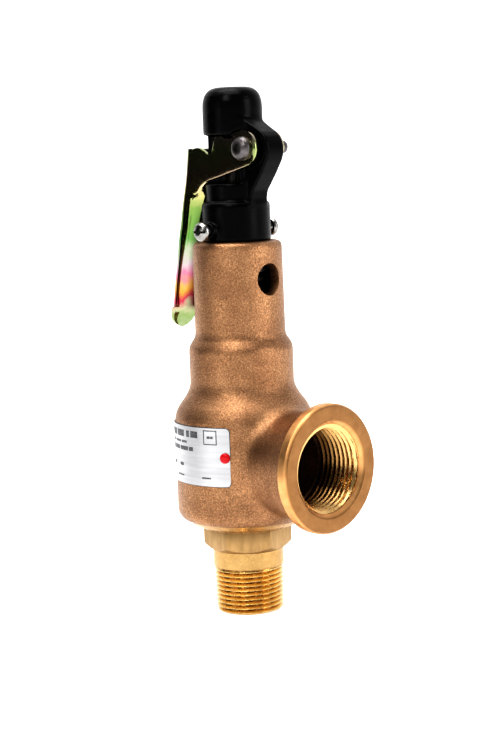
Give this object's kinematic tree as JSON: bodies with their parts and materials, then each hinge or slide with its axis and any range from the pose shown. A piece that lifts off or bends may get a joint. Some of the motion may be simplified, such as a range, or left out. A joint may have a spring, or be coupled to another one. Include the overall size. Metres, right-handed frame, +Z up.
{
  "type": "pressure relief valve",
  "caption": "Cast bronze pressure relief valve with threaded inlet and side outlet, open lifting lever, black cap and vented spring housing.",
  "frame": {"origin": "centre of the inlet's end face, on the spindle's axis", "axes": "+Z up the spindle's axis from the inlet, +X from the spindle's axis towards the outlet"},
  "size_m": [0.0816, 0.0587, 0.204],
  "materials": {
    "cast_bronze": "cast",
    "turned_brass": "machined",
    "steel": "satin",
    "chrome": "polished",
    "black_paint": "gloss",
    "yellow_zinc": "iridescent chromate",
    "plate_steel": "satin",
    "red_paint": "gloss"
  },
  "bodies": {
    "valve": {"body": "cast_bronze", "nozzle": "turned_brass", "adjusting_ring": "turned_brass", "ring_set_screw": "steel", "guide_plate": "turned_brass", "spring": "steel", "upper_spring_washer": "steel", "compression_screw": "turned_brass", "lock_nut": "steel", "cap": "black_paint", "cap_screws": "chrome", "pivot_bush": "steel", "pivot_screw": "steel", "pivot_nut": "yellow_zinc", "nameplate": "plate_steel", "nameplate_rivets": "red_paint"},
    "lever": {"lever": "yellow_zinc"},
    "spindle": {"stem": "steel", "disc": "turned_brass", "disc_retaining_ring": "steel", "lower_spring_washer": "steel", "release_nut": "steel", "release_lock_nut": "steel"}
  },
  "joints": [
    {"name": "lever_pivot", "type": "hinge", "parent": "valve", "child": "lever", "pos_m": [0.0128, 0, 0.1806], "axis": [0, 1, 0], "range_deg": [0, 12.2], "stiffness_Nm_per_rad": 2.62, "springref_deg": -24.64},
    {"name": "stem_lift", "type": "slide", "parent": "valve", "child": "spindle", "axis": [0, 0, 1], "range_m": [0, 0.00275], "deforming": ["spring"]}
  ],
  "couplings": [
    {"joint": "stem_lift", "follows": "lever_pivot", "m_per_rad": 0.0128}
  ]
}
